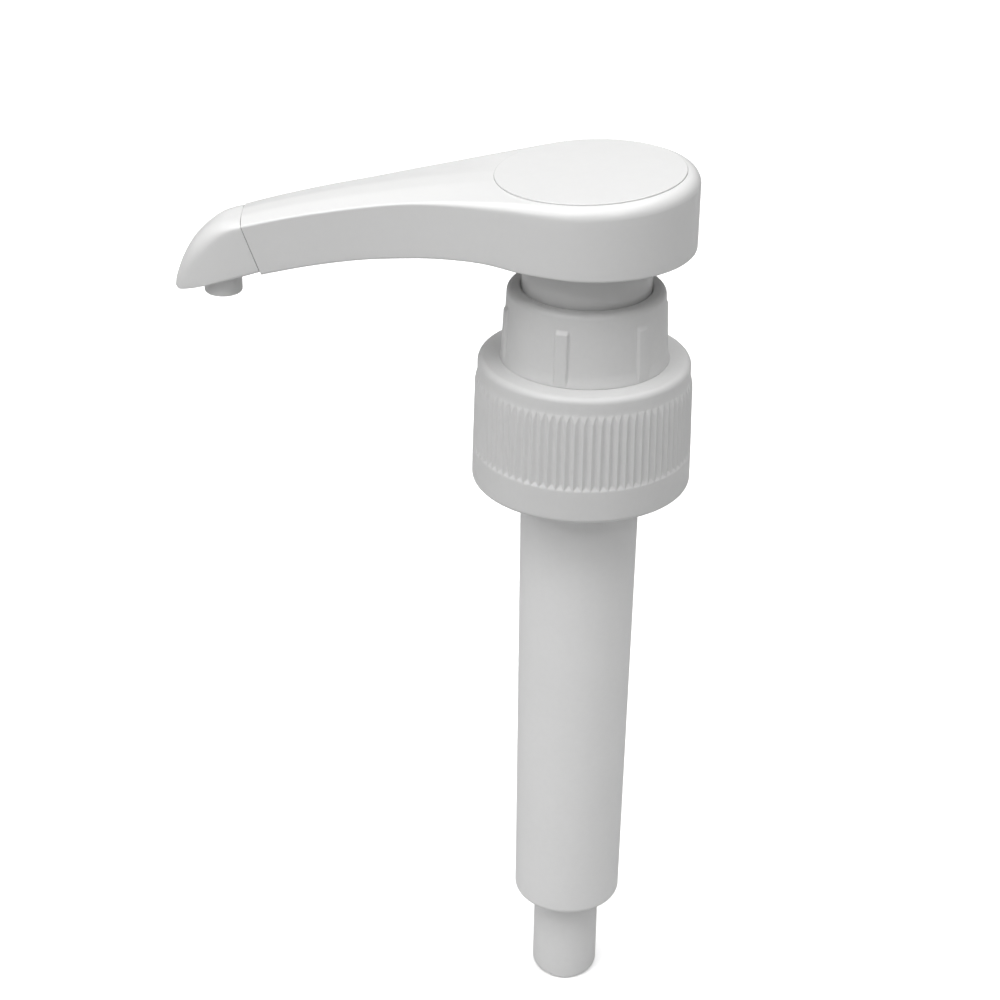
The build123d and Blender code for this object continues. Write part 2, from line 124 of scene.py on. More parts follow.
# %% [markdown]
# Two more helpers do the joining. `loft` puts quads between loops that have the same number of
# points, and `piece` turns millimetre points into a smooth shaded object. Weighted normals keep wide flat
# faces flat next to a narrow rounded edge, so that the highlight stays in the edge.


# %% join loops, and make an object
def loft(loops, ring=False):
    """Quads between loops of points. ring joins the last loop to the first."""
    around = len(loops[0])
    points = [p for loop in loops for p in loop]
    faces = []
    for i in range(len(loops) if ring else len(loops) - 1):
        a, b = i * around, (i + 1) % len(loops) * around
        faces += [(a + j, a + (j + 1) % around, b + (j + 1) % around, b + j) for j in range(around)]
    return points, faces


def piece(name, parts, sharp=32):
    """One object from a list of (points, faces) parts, in millimetres."""
    mesh = bpy.data.meshes.new(name)
    points, faces = [], []
    for part_points, part_faces in parts:
        start = len(points)
        points += [(p[0] / 1000, p[1] / 1000, p[2] / 1000) for p in part_points]
        faces += [tuple(start + v for v in f) for f in part_faces]
    mesh.from_pydata(points, [], faces)
    work = bmesh.new()
    work.from_mesh(mesh)
    bmesh.ops.remove_doubles(work, verts=work.verts, dist=2e-6)
    bmesh.ops.dissolve_degenerate(work, edges=work.edges, dist=1e-7)
    bmesh.ops.recalc_face_normals(work, faces=work.faces)
    work.to_mesh(mesh)
    work.free()
    mesh.polygons.foreach_set("use_smooth", [True] * len(mesh.polygons))
    mesh.set_sharp_from_angle(angle=radians(sharp))
    obj = bpy.data.objects.new(name, mesh)
    bpy.context.scene.collection.objects.link(obj)
    soft = obj.modifiers.new("weighted normals", "WEIGHTED_NORMAL")
    soft.keep_sharp = True
    print(name, "points", len(mesh.vertices), "faces", len(mesh.polygons))
    return obj


def turned(outline, around=144, bulge=None):
    """A closed outline of (radius, height) turned about Z; bulge(angle, radius, height) may vary it."""
    loops = []
    for r, z in outline:
        loop = []
        for k in range(around):
            a = 2 * pi * k / around
            rr = bulge(a, r, z) if bulge else r
            loop.append((rr * cos(a), rr * sin(a), z))
        loops.append(loop)
    return loft(loops, ring=True)


# %% [markdown]
# Screw threads are moulded as a blunt ridge that follows a helix and fades in and out at its ends. A
# ridge is a section of six points swept along the helix, and its foot sinks into the wall that it
# stands on.


# %% screw thread ridge
def thread(root, crest, pitch, turns, start, steps=96):
    """The ridge of a screw thread from radius root to radius crest."""
    loops, total = [], int(steps * turns)
    sink = 0.3 if crest > root else -0.3
    for i in range(total + 1):
        a = 2 * pi * i / steps
        fade = min(1.0, 6.0 * min(i, total - i) / steps + 0.02)
        tip = root + (crest - root) * fade
        z = start + pitch * i / steps
        section = [
            (root - sink, -0.32), (root, -0.32), (tip, -0.15), (tip, 0.15), (root, 0.32),
            (root - sink, 0.32),
        ]
        loops.append([(r * cos(a), r * sin(a), z + k * pitch) for r, k in section])
    points, faces = loft(loops)
    last = len(points) - 6
    return points, faces + [tuple(range(6)), tuple(range(last, last + 6))]


# %% [markdown]
# ## Curves through measured points
# The arm of the head swells and narrows in plan and droops in side view. Each of those lines is given by a
# few stations, and a cubic goes smoothly through them. `through` is a small Hermite spline whose slopes
# come from the neighbouring stations.


# %% smooth function through stations
def through(stations, first=None, last=None):
    """A smooth function through (along, value) stations; first and last are the slopes at its ends."""
    xs, ys = [p[0] for p in stations], [p[1] for p in stations]
    gaps = [(ys[i + 1] - ys[i]) / (xs[i + 1] - xs[i]) for i in range(len(xs) - 1)]
    slopes = [gaps[0] if first is None else first]
    for i in range(1, len(xs) - 1):
        a, b = xs[i] - xs[i - 1], xs[i + 1] - xs[i]
        slopes.append((gaps[i - 1] * b + gaps[i] * a) / (a + b))
    slopes.append(gaps[-1] if last is None else last)

    def at(x):
        if x <= xs[0]:
            return ys[0] + (x - xs[0]) * slopes[0]
        if x >= xs[-1]:
            return ys[-1] + (x - xs[-1]) * slopes[-1]
        i = max(k for k in range(len(xs) - 1) if xs[k] <= x)
        h = xs[i + 1] - xs[i]
        t = (x - xs[i]) / h
        return (
            ys[i] * (1 + 2 * t) * (1 - t) ** 2 + slopes[i] * h * t * (1 - t) ** 2
            + ys[i + 1] * t * t * (3 - 2 * t) + slopes[i + 1] * h * t * t * (t - 1)
        )

    return at


def ease(x, low, high):
    """0 below low, 1 above high, smooth in between."""
    t = min(1.0, max(0.0, (x - low) / (high - low)))
    return t * t * (3 - 2 * t)


# %% [markdown]
# ## The saddle head
# The head is one moulding: a round pad for the palm that runs out into a drooping arm. Seen from
# above it is a teardrop. It could be a subdivided cage, but then the circle and the disc's seat would
# drift, so it is lofted in rings instead: the teardrop outline climbs the wall, rolls over a
# fillet that is wide at the pad and tight at the spout, and then walks inward over a low crown to the
# arm's spine or to the rim of the disc's recess.

# %% teardrop outline and the heights of the head
HEAD_R, JOINT_S, JOINT_Z = 20.6, 64.65, 33.2
TOP_Z, FLOOR_Z = 42.85, 28.9
SLOPE = tan(radians(3.3))
LEAN = tan(radians(20.5))
RIM_R = 18.06
MEET_S = 8.0
MEET_W = sqrt(HEAD_R ** 2 - MEET_S ** 2)
waist = through(
    [(MEET_S, MEET_W), (14, 16.35), (20, 13.95), (26, 11.74), (32, 9.9), (38, 8.6), (50, 7.34), (68, 6.1)],
    first=-MEET_S / MEET_W, last=-0.07,
)
ridge = through(
    [(0, TOP_Z), (9, TOP_Z - 9 * SLOPE), (18, TOP_Z - 18 * SLOPE), (32, 40.5), (44, 38.6), (56, 36.2),
     (68, 33.35)],
    first=-SLOPE, last=-0.24,
)
belly = through(
    [(12, FLOOR_Z), (20, 29.65), (28, 29.4), (36, 28.6), (44, 27.65), (52, 26.2), (61.3, 23.9), (68, 21.9)],
    first=0, last=-0.3,
)


def belly_z(s):
    return FLOOR_Z if s < 12 else belly(s)


def crown_z(s, w):
    """Height of the top at s along the arm and w from its spine: flat, then falling to each side."""
    strip, fall = 2.1 + 0.8 * ease(64 - s, 0, 46), 0.5 * ease(s, 4, 30)
    x = abs(w) - strip
    side = max(waist(max(s, MEET_S)) - strip, 1.0)
    return ridge(s) - fall * (sqrt(x * x + 0.16) + x) / 2 / side


def lean(s, z):
    """Shears the last part of the arm so that its end lies in the slanted joint plane."""
    at_joint = JOINT_S + LEAN * (z - JOINT_Z)
    return s if s <= 40 else 40 + (s - 40) * (at_joint - 40) / (JOINT_S - 40)


# %% points round the teardrop, with their outward directions and where each one walks in to
ARM_STEPS, ROUND_STEPS, END_STEPS, RIM_STEPS = 46, 84, 6, 15


def teardrop(end_s, inset=0.0):
    """(s, w, outward s, outward w, target s, target w) round the outline from the joint's near side."""
    side = []
    spine_from = end_s + (MEET_S - end_s) * (ARM_STEPS - RIM_STEPS) / ARM_STEPS
    for i in range(ARM_STEPS):
        s = end_s + (MEET_S - end_s) * i / ARM_STEPS
        slope = (waist(s + 0.01) - waist(s - 0.01)) / 0.02
        n = Vector((-slope, 1)).normalized()
        if i <= ARM_STEPS - RIM_STEPS:
            target = (RIM_R + (s - spine_from) * (end_s - RIM_R) / (end_s - spine_from), 0.0)
        else:
            a = atan2(MEET_W, MEET_S) * (1 - (s - MEET_S) / (spine_from - MEET_S))
            target = (RIM_R * cos(a), RIM_R * sin(a))
        side.append((s - n.x * inset, waist(s) - n.y * inset, n.x, n.y) + target)
    start = atan2(MEET_W, MEET_S)
    turn_back = []
    for i in range(ROUND_STEPS + 1):
        a = start + (2 * pi - 2 * start) * i / ROUND_STEPS
        c, d = cos(a), sin(a)
        turn_back.append(((HEAD_R - inset) * c, (HEAD_R - inset) * d, c, d, RIM_R * c, RIM_R * d))
    near = side + turn_back
    far = [(s, -w, ns, -nw, ts, -tw) for s, w, ns, nw, ts, tw in reversed(side)]
    return near + far


outline = teardrop(JOINT_S)
print("points round the head:", len(outline), "widest:", round(max(p[1] for p in outline) * 2, 2), "mm")


# %% [markdown]
# Every ring needs the same number of points, and the flat end at the joint gets a few points of its own
# on the straight line between the two side walls.


# %% close a ring across the joint
def across(loop):
    """Adds points on the straight line from the loop's last point back to its first."""
    a, b = Vector(loop[-1]), Vector(loop[0])
    return loop + [tuple(a.lerp(b, k / (END_STEPS + 1))) for k in range(1, END_STEPS + 1)]


def place(s, w, z, sheared=True):
    """A point of the head in the frame: s out along the arm, w toward the viewer."""
    return (-(lean(s, z) if sheared else s), -w, z)


# %% outer skin of the head
def fillet_r(s):
    return 2.5 - 2.0 * ease(s, 2, 38)


rings = []
for out, rise in ((-0.45, 0.0), (-0.2, 0.05), (-0.05, 0.2), (0.0, 0.5)):
    rings.append(across([
        place(s + ns * out, w + nw * out, belly_z(lean(s, belly_z(s))) + rise)
        for s, w, ns, nw, _, _ in outline
    ]))
for step in range(1, 7):
    loop = []
    for s, w, ns, nw, _, _ in outline:
        low = belly_z(lean(s, belly_z(s))) + 0.5
        high = crown_z(s, abs(w) - fillet_r(s)) - fillet_r(s)
        loop.append(place(s, w, low + (high - low) * step / 6))
    rings.append(across(loop))
for step in range(1, 10):
    a = radians(90 * step / 9)
    loop = []
    for s, w, ns, nw, _, _ in outline:
        r = fillet_r(s)
        back = r * (1 - cos(a))
        ss, ww = s - ns * back, w - nw * back
        top = crown_z(s - ns * r, abs(w) - nw * r if w > 0 else abs(w) + nw * r)
        loop.append(place(min(ss, JOINT_S), ww, top - r + r * sin(a)))
    rings.append(across(loop))

# %% crown: walk each point in to the spine or to the disc's rim
for step in range(1, 12):
    loop = []
    for s, w, ns, nw, ts, tw in outline:
        r = fillet_r(s)
        s0, w0 = min(s - ns * r, JOINT_S), w - nw * r
        strip = 2.1 + 0.8 * ease(64 - ts, 0, 46)
        mid_w = tw if abs(tw) > strip else strip * (1 if w > 0 else -1)
        mid_s = ts if abs(tw) > strip or tw == 0 else sqrt(RIM_R ** 2 - strip ** 2) + 0.02
        t = step / 7
        if t <= 1:
            ss, ww = s0 + (mid_s - s0) * t, w0 + (mid_w - w0) * t
        else:
            u = (step - 7) / 4
            ss, ww = mid_s + (ts - mid_s) * u, mid_w + (tw - mid_w) * u
        loop.append(place(ss, ww, crown_z(ss, ww)))
    rings.append(across(loop))

# %% [markdown]
# The disc sits in a shallow round recess, so the skin goes down at its rim and in to the middle. Under the
# head the moulding is hollow: a second teardrop, one wall thickness in, climbs to the ceiling.

# %% recess for the disc, and the hollow underneath
recess = []
for r, drop in ((RIM_R, None), (RIM_R, 0.25), (RIM_R, 0.9), (9, 0.9), (0.02, 0.9)):
    loop = []
    for k in range(180):
        a = 2 * pi * (k + 0.5) / 180
        x, y = r * cos(a), r * sin(a)
        loop.append((x, y, TOP_Z + SLOPE * x - (drop or 0)))
    recess.append(loop)

WALL, CAVITY_END = 1.8, JOINT_S - 5
inner = teardrop(CAVITY_END, WALL)
under = [rings[0]]
for rise, extra in ((0.0, 0.0), (0.25, 0.08)):
    under.append(
        across([
            place(s - ns * extra, w - nw * extra, belly_z(s) + rise, False)
            for s, w, ns, nw, _, _ in inner
        ])
    )
for step in range(1, 6):
    under.append(across([
        place(s - ns * 0.08, w - nw * 0.08, belly_z(s) + (ridge(s) - 3.2 - belly_z(s)) * step / 5, False)
        for s, w, ns, nw, _, _ in inner
    ]))
for t in (0.3, 0.6, 0.8, 1.0):
    loop = []
    for s, w, ns, nw, ts, tw in inner:
        es, ew = (ts, tw) if tw == 0 else (ts * (1 - t * t * 0.5), tw * (1 - t))
        es = max(es, -2.0) if tw else es
        loop.append(place(s + (es - s) * t, w + (ew - w) * t, ridge(max(s + (es - s) * t, 0)) - 3.2, False))
    under.append(across(loop))
# %% neck, stem socket, webs and the flow channel inside the head
neck = turned(softened([
    (9.9, 6.0, 0.3), (11.9, 6.0, 0.5), (11.9, 18.5, 0.3), (12.5, 19.1, 0.3), (12.5, 39.0, 0),
    (10.4, 39.0, 0), (10.4, 7.5, 0),
]), 144)
socket = turned(softened([(5.25, 12.0, 0.2), (7.25, 12.0, 0.4), (7.25, 40.0, 0), (5.25, 40.0, 0)]), 72)
neck_thread = thread(11.9, 12.44, 4.0, 1.6, 9.0)

CHANNEL_Z, CHANNEL_FALL = 36.0, (36.0 - 28.95) / JOINT_S


def pipe(start_s, end_s, outer, bore, around=48):
    """A short tube along the flow channel, which falls gently toward the tip."""
    loops = []
    for r, ends in ((outer, (start_s, end_s)), (bore, (end_s, start_s))):
        for s in ends:
            z = CHANNEL_Z - CHANNEL_FALL * s
            loops.append([
                (-s, r * sin(2 * pi * k / around), z + r * cos(2 * pi * k / around))
                for k in range(around)
            ])
    return loft(loops, ring=True)


def slab(x, y, z, length, thick, height, angle):
    """A small web with eased corners, standing at an angle round the axis."""
    c, d = cos(angle), sin(angle)
    loops = []
    for dz, shrink in ((0, 0.15), (0.15, 0), (height, 0)):
        a, b = length / 2 - shrink, thick / 2 - shrink
        loops.append([
            (x + u * c - v * d, y + u * d + v * c, z + dz)
            for u, v in ((-a, -b), (a, -b), (a, b), (-a, b))
        ])
    points, faces = loft(loops)
    return points, faces + [(0, 1, 2, 3), (8, 9, 10, 11)]


webs = [
    slab(8.95 * cos(a), 8.95 * sin(a), 13.0, 4.4, 1.3, 26.0, a)
    for a in (radians(45 + 90 * k) for k in range(4))
]
channel = pipe(6.0, JOINT_S - 1.6, 4.0, 2.7)

# %% the head as one piece
saddle_head = piece(
    "saddle_head", [loft(rings), loft(recess), loft(under), neck, socket, neck_thread, channel] + webs, 40,
)
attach(saddle_head, "actuator")
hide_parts("actuator_head")

# %% [markdown]
# ## The cover disc
# A separate thin disc is pressed into the recess and hides where the stem socket was cored out of the
# mould. Its edge has a fine radius, and the hair gap round it is what draws the circle on top of the head.
# It is turned flat and then sheared to the tilt of the head.

# %% cover disc
disc_outline = softened(
    [(0.01, 42.0, 0), (17.94, 42.0, 0.1), (18.045, 43.15, 0.2), (12, 43.2, 0), (0.01, 43.2, 0)], 6,
)
disc_points, disc_faces = turned(disc_outline, 180)
disc_points = [(x, y, z + SLOPE * x) for x, y, z in disc_points]
peg_parts = []
for k in range(3):
    a = radians(60 + 120 * k)
    points, faces = turned(
        softened([(0.01, 40.4, 0), (1.2, 40.4, 0.2), (1.2, 42.2, 0), (0.01, 42.2, 0)]), 24,
    )
    cx, cy = 15 * cos(a), 15 * sin(a)
    peg_parts.append(([(x + cx, y + cy, z + SLOPE * cx) for x, y, z in points], faces))
cover_disc = piece("cover_disc", [(disc_points, disc_faces)] + peg_parts)
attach(cover_disc, "actuator")
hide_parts("head_cover_disc")

# %% [markdown]
# ## The beak tip
# The end of the spout is a separate cap that plugs onto the arm along a leaning line. Its top rolls over
# to a beak, so it is lofted in stations along the crest. The stations are spaced along the curve,
# because evenly spaced ones would miss the steep nose.

# %% crest, sides and underside of the tip
TIP_S = 78.0
crest_stations = [
    (64.78, 34.05), (67.0, 33.7), (69.0, 33.2), (71.4, 31.9), (73.6, 29.75), (75.9, 26.2),
    (77.3, 22.8), (77.9, 20.6), (77.98, 19.85),
]
run = [0.0]
for (s0, z0), (s1, z1) in zip(crest_stations, crest_stations[1:]):
    run.append(run[-1] + hypot(s1 - s0, z1 - z0))
crest_s = through([(t, p[0]) for t, p in zip(run, crest_stations)])
crest_z = through([(t, p[1]) for t, p in zip(run, crest_stations)])
half_by_root = through([
    (sqrt(TIP_S - s), w)
    for s, w in ((77.99, 0.25), (77.2, 2.1), (75, 3.9), (71, 5.3), (66, 6.05), (60, 6.4))
])


def half_width(s):
    return half_by_root(sqrt(max(TIP_S - s, 0.0)))


def underside(s):
    return 24.55 - (s - 61.6) * 0.326 + 0.45 * ease(s, 77.2, 77.98)


# %% one station of the tip: outer skin, then back along the inner skin
def tip_station(t, inward):
    """Points over the tip at t along its crest. Near the joint the section leans like the joint does."""
    s, z = crest_s(t), crest_z(t)
    nose = t / run[-1]
    shear = (1 - ease(s, 65.5, 74)) * LEAN
    low = underside(s)
    for _ in range(3):
        low = underside(s + shear * (low - JOINT_Z))
    roll_h, power = 1.5 + 2.6 * ease(nose, 0.0, 0.5), 3.6 - 1.3 * ease(nose, 0.0, 0.45)
    if inward:
        z = max(z - 1.3 - 2.4 * ease(nose, 0.35, 0.8), low + 0.04)
    roll_h = min(roll_h, (z - low) * 0.85)
    profile = [(1.0 if inward else 0.94, low)]
    profile += [
        (k, low + (z - roll_h - low) * h)
        for k, h in ((0.985, 0.02), (1.0, 0.07), (1.0, 0.35), (1.0, 0.7))
    ]
    profile += [
        (cos(a) ** (2 / power), z - roll_h + roll_h * sin(a) ** (2 / power))
        for a in (radians(90 * k / 12) for k in range(12))
    ]
    profile.append((0.0, z))
    placed = []
    for share, h in profile:
        out_s = s + shear * (h - JOINT_Z)
        half = half_width(out_s) if not inward else max(half_width(out_s) - 1.3, 0.03)
        placed.append((out_s, share * half, h))
    return [(-a, -w, h) for a, w, h in placed] + [(-a, w, h) for a, w, h in reversed(placed[:-1])]


stations = [run[-1] * (k / 44) for k in range(45)]
skin = []
for t in stations:
    skin.append(tip_station(t, 0) + list(reversed(tip_station(t, 1))))
tip_points, tip_faces = loft(skin)
per = len(skin[0])
half_per = per // 2
for base in (0, len(tip_points) - per):
    tip_faces += [
        (base + k, base + k + 1, base + per - 2 - k, base + per - 1 - k) for k in range(half_per - 1)
    ]

# %% nozzle that drips straight down, and the spigot that plugs into the arm
NOZZLE_S, NOZZLE_END = 69.0, 18.4
nozzle_points, nozzle_faces = turned(
    softened([
        (2.3, NOZZLE_END, 0.25), (3.6, NOZZLE_END, 0.45), (3.6, 30.4, 0.6), (2.3, 30.4, 0), (2.3, 24, 0),
    ], 5), 72
)
nozzle = ([(x - NOZZLE_S, y, z) for x, y, z in nozzle_points], nozzle_faces)
spigot = pipe(JOINT_S - 6, NOZZLE_S - 2.6, 2.64, 1.9)
sleeve = pipe(JOINT_S - 1.4, NOZZLE_S - 2.4, 3.7, 2.6)
beak_tip = piece("beak_tip", [(tip_points, tip_faces), nozzle, spigot, sleeve], 50)
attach(beak_tip, "actuator")
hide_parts("spout_tip")

# %% [markdown]
# ## The lock collar
# The collar snaps over the mouth of the barrel and carries the inner thread that the head locks into. Six
# flat ribs stand on it, each ramped at its top. They are raised out of the turned wall itself rather than
# stuck on, so that their flanks blend into it as a moulded rib does.


# %% lock collar
def collar_wall(z):
    return 16.14 - 0.045 * z


RIBS, FIRST_RIB = 6, radians(-109.2)


def raise_ribs(angle, r, z):
    """Adds a rib where the angle is near one and the point is on the outer wall."""
    if r < 14.9 or z > 17.4 or z < 5.96:
        return r
    step = 2 * pi / RIBS
    off = (angle - FIRST_RIB + step / 2) % step - step / 2
    across_rib = 1 - ease(abs(off) * 15.6, 1.0, 1.5)
    top = 1 - ease(z, 16.0, 17.1)
    target = collar_wall(z) + 0.52
    return r + max(0.0, target - r) * across_rib * top


collar_corners = [(14.05, 5.78, 0.1), (16.4, 5.78, 0.05), (16.4, 5.92, 0.04)]
flare = [
    (15.8 + 0.6 * (1 - sin(a)) ** 1.5, 5.92 + 2.5 * sin(a))
    for a in (radians(90 * k / 8) for k in range(1, 9))
]
wall_rows = [(collar_wall(z), z) for z in (8.8, 9.6, 10.8, 12.2, 13.6, 14.8, 15.6)]
wall_rows += [(collar_wall(15.8 + 0.12 * k), 15.8 + 0.12 * k) for k in range(13)]
lip_corners = [
    (collar_wall(17.6), 17.6, 0), (collar_wall(20.2), 20.25, 2.25), (12.6, 20.3, 0.45), (12.52, 18.9, 0.2),
    (13.25, 18.5, 0.1), (13.25, 13.7, 0.1), (14.05, 13.6, 0.1),
]
collar_outline = softened([(14.05, 13.0, 0)] + collar_corners, 3, closed=False)[1:] + flare + wall_rows
collar_outline += softened(lip_corners + [(14.05, 13.0, 0)], 9, closed=False)[:-1]
neck_collar = piece(
    "neck_collar", [turned(collar_outline, 720, raise_ribs), thread(13.25, 12.68, 4.0, 0.85, 14.9)], 40,
)
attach(neck_collar, "pump_body")
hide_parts("lock_collar")

# %% [markdown]
# ## The screw closure
# The closure's eighty grip ribs are cut by shallow rounded grooves. At their tops a cone trims the
# ribs back to the plain band, which leaves small teardrops that face the light. At the bottom each
# groove runs out up a short ramp, which shows as a dot. Both follow from taking the smaller or the
# larger of two radii, so no booleans are needed.

# %% grip grooves
GROOVES, GROOVE_DEPTH = 80, 0.42
BAND_R, FLUTE_TOP, RAMP_LOW, FLUTE_LOW = 20.64, 2.25, 0.45, -13.1


def skirt_r(z):
    return 21.5 - 0.0198 * (z + 20)


def cut_grooves(angle, r, z):
    """Radius of the closure's outside at this angle and height."""
    if r < 20 or z > FLUTE_TOP or z < FLUTE_LOW:
        return r
    groove = (0.5 + 0.5 * cos(GROOVES * angle)) ** 0.75
    body = skirt_r(z) - GROOVE_DEPTH * groove
    up_ramp = min(1.0, max(0.0, (z - RAMP_LOW) / (FLUTE_TOP - RAMP_LOW)))
    trimmed = BAND_R + (skirt_r(RAMP_LOW) - BAND_R) * (1 - up_ramp ** 1.15)
    down_ramp = min(1.0, max(0.0, (FLUTE_LOW + 0.95 - z) / 0.95))
    ramp_out = skirt_r(z) - GROOVE_DEPTH * (1 - down_ramp ** 1.3)
    return min(max(body, ramp_out), trimmed if z > RAMP_LOW else body + 1)


# %% screw closure
grip_rows = [
    FLUTE_LOW + k
    for k in (0, 0.12, 0.24, 0.36, 0.48, 0.6, 0.72, 0.84, 0.96, 1.4, 2.8, 5.0, 7.5, 10.0, 12.0)
]
grip_rows += [RAMP_LOW + k * 0.15 for k in range(12)] + [FLUTE_TOP]
closure_outline = softened(
    [
        (18.95, -12, 0), (18.95, -19.2, 0.1), (19.5, -20, 0.15), (21.45, -20, 1.3),
        (skirt_r(-13.6), -13.6, 0),
    ], 7, False,
)[1:]
closure_outline += [(skirt_r(z), z) for z in grip_rows]
closure_outline += softened([
    (BAND_R, 3.2, 0), (BAND_R, 5.75, 1.3), (14.6, 5.75, 0.2), (14.6, 3.75, 0.1), (18.95, 3.75, 0.3),
    (18.95, -12, 0),
], 7, False)
screw_closure = piece(
    "screw_closure",
    [turned(closure_outline, GROOVES * 12, cut_grooves), thread(18.95, 17.85, 4.23, 1.4, -13.0)], 40,
)
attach(screw_closure, "closure")
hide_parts("closure_cap")

# %% [markdown]
# ## Barrel and intake tube
# The barrel is the pump's cylinder, and it tapers by a hair toward its rounded foot. The short intake
# tube is pushed into that foot and cut to a shallow V, so that it can't seal itself against the bottom
# of a jug.


# %% barrel
def barrel_r(z):
    return 11.92 + 0.0073 * z


barrel_corners = [
    (12.95, 13.4, 0.1), (13.75, 13.4, 0.15), (13.95, 13.0, 0.1), (13.95, 3.6, 0.3), (18.2, 3.6, 0.2),
    (18.2, 1.65, 0.2), (barrel_r(0) + 1.0, 1.65, 0.3), (barrel_r(0), 0.6, 0.4),
    (barrel_r(-119), -119.07, 4.6), (8.66, -119.07, 0.35), (6.88, -119.07, 0.3), (6.88, -110.6, 0.1),
    (3.0, -110.6, 0.1), (1.6, -109.4, 0.1), (5.0, -106.0, 0.1), (5.0, -105.5, 0.1), (10.5, -105.5, 0.3),
    (10.5, 2.6, 0.2), (12.95, 2.6, 0.2),
]
barrel = piece("barrel", [turned(softened(barrel_corners, 9), 160)], 50)
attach(barrel, "pump_body")
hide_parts("pump_housing")

# %% intake tube with its V cut
TUBE_R, TUBE_BORE, TUBE_END, CUT = 6.83, 5.55, -139.4, tan(radians(8))


def tube_loop(r, z, around=120):
    """A ring of the tube; the lowest rings follow the V, which is lowest at front and back."""
    loop = []
    for k in range(around):
        a = 2 * pi * k / around
        end = TUBE_END + abs(r * cos(a)) * CUT
        loop.append((r * cos(a), r * sin(a), end + z if z < 3 else TUBE_END + z))
    return loop


tube_rings = [tube_loop(r, z) for r, z in (
    (TUBE_BORE + 0.25, 0), (TUBE_R - 0.3, 0), (TUBE_R - 0.08, 0.08), (TUBE_R, 0.3), (TUBE_R, 2.0),
    (TUBE_R, 10), (TUBE_R, 28.5), (TUBE_R - 0.2, 28.7), (TUBE_BORE + 0.1, 28.7), (TUBE_BORE, 28.5),
    (TUBE_BORE, 10), (TUBE_BORE, 2.0), (TUBE_BORE, 0.3), (TUBE_BORE + 0.07, 0.08),
)]
intake_tube = piece("intake_tube", [loft(tube_rings, ring=True)], 50)
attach(intake_tube, "pump_body")
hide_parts("dip_tube")

# %% [markdown]
# ## Soft rings
# The gasket, the stem wiper and the piston's cup seal are soft, so their corners are rounder than the hard
# parts' and their lips are thin. Each is one turned outline.

# %% gasket, wiper and cup seal
gasket = piece("foam_gasket", [turned(softened(
    [(12.25, 0, 0.35), (18.3, 0, 0.45), (18.3, 1.6, 0.45), (13.05, 1.6, 0.3), (12.25, 0.8, 0.3)]), 144)])
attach(gasket, "pump_body")
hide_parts("rim_gasket")

wiper = piece("wiper_ring", [turned(softened(
    [(5.25, 2.7, 0.1), (7.62, 2.7, 0.25), (7.62, 4.3, 0.25), (6.4, 4.3, 0.25), (5.9, 3.5, 0.2),
     (5.5, 4.3, 0.12), (5.25, 4.3, 0.08)]), 96)])
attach(wiper, "pump_body")
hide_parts("stem_wiper")

cup_seal = piece("cup_seal", [turned(softened([
    (7.05, -88.0, 0.1), (8.9, -88.0, 0.2), (9.2, -86.0, 0.3), (9.95, -88.0, 0.12), (10.45, -87.8, 0.1),
    (10.45, -87.0, 0.3), (9.7, -84.8, 0.8), (9.7, -82.3, 0.8), (10.45, -80.1, 0.3), (10.45, -79.3, 0.1),
    (9.95, -79.1, 0.12), (9.0, -81.3, 0.3), (8.4, -81.3, 0.3), (8.2, -79.1, 0.2), (7.05, -79.1, 0.1),
    (7.05, -82.6, 0), (7.55, -83.1, 0.1), (7.55, -84.1, 0.1), (7.05, -84.6, 0),
]), 96)])
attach(cup_seal, "plunger")
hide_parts("piston_seal")

# %% [markdown]
# ## The return spring
# The spring is wound wire with its end coils closed, so its pitch eases to almost nothing at each end. Its
# foot stays with the barrel and its head follows the piston.

# %% return spring
SPRING_LOW, SPRING_HIGH, COIL_R, WIRE_R, COILS = -103.53, -90.17, 8.4, 0.6, 10
WIRE_SIDES = 14
loops, steps = [], 40 * COILS
for i in range(steps + 1):
    t = i / steps
    a = 2 * pi * COILS * t
    z = SPRING_LOW + (SPRING_HIGH - SPRING_LOW) * (0.06 * t + 0.94 * ease(t, -0.06, 1.06))
    out = Vector((cos(a), sin(a), 0))
    loops.append([
        tuple(out * (COIL_R + WIRE_R * cos(b)) + Vector((0, 0, z + WIRE_R * sin(b))))
        for b in (2 * pi * k / WIRE_SIDES for k in range(WIRE_SIDES))
    ])
spring_points, spring_faces = loft(loops)
last = len(spring_points) - WIRE_SIDES
spring_ends = [tuple(range(WIRE_SIDES)), tuple(range(last, last + WIRE_SIDES))]
coil_spring = piece("coil_spring", [(spring_points, spring_faces + spring_ends)], 60)
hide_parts("return_spring")
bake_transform(coil_spring)

# %% [markdown]
# ## Finishes
# The pump is moulded polypropylene: white and glossy on the head, satin on the collar and closure, and
# a slightly milky natural grade for the barrel. Plastic like this is never one flat colour. The resin is
# faintly cloudy, the skin has a fine texture that breaks up the gloss, handling polishes and soils it a
# little, and dust settles on what faces up. Each of those effects is a small node group, so that every
# finish can use it with its own values.


# %% helper for node groups
def node_group(name, inputs, outputs):
    """A shader node group with the given sockets; returns it with its input and output nodes."""
    group = bpy.data.node_groups.new(name, "ShaderNodeTree")
    for label, kind, default in inputs:
        socket = group.interface.new_socket(label, in_out="INPUT", socket_type=kind)
        socket.default_value = default
    for label, kind in outputs:
        group.interface.new_socket(label, in_out="OUTPUT", socket_type=kind)
    return group, group.nodes.new("NodeGroupInput"), group.nodes.new("NodeGroupOutput")


def node(tree, kind, links=(), **values):
    """A node in tree; links are (input name, output socket) and values are its properties."""
    made = tree.nodes.new(kind)
    for key, value in values.items():
        setattr(made, key, value)
    for name, source in links:
        target = made.inputs[name]
        if hasattr(source, "links"):
            tree.links.new(source, target)
        else:
            target.default_value = source
    return made


